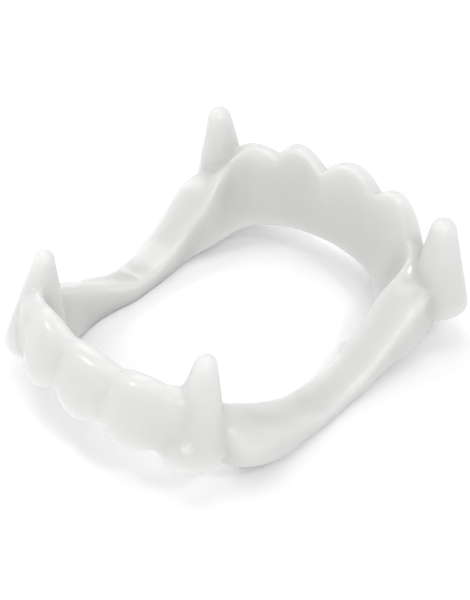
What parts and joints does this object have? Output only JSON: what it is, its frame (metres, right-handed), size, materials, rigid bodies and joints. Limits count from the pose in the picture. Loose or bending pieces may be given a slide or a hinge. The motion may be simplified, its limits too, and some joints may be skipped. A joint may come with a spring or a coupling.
{
  "type": "novelty vampire fang teeth",
  "caption": "One-piece moulded plastic ring of costume teeth, lower arch and upper arch joined by two dipped side arms, with long pointed fangs at the corners",
  "frame": {"origin": "middle of the ring's bounding box, on the plane it rests on", "axes": "+X across the mouth, +Y from the lower arch to the upper arch, +Z the way the fangs point"},
  "size_m": [0.053, 0.059, 0.0234],
  "materials": {
    "denture": "glossy, slightly translucent milky white"
  },
  "bodies": {
    "root": {"denture": "denture"}
  },
  "joints": []
}
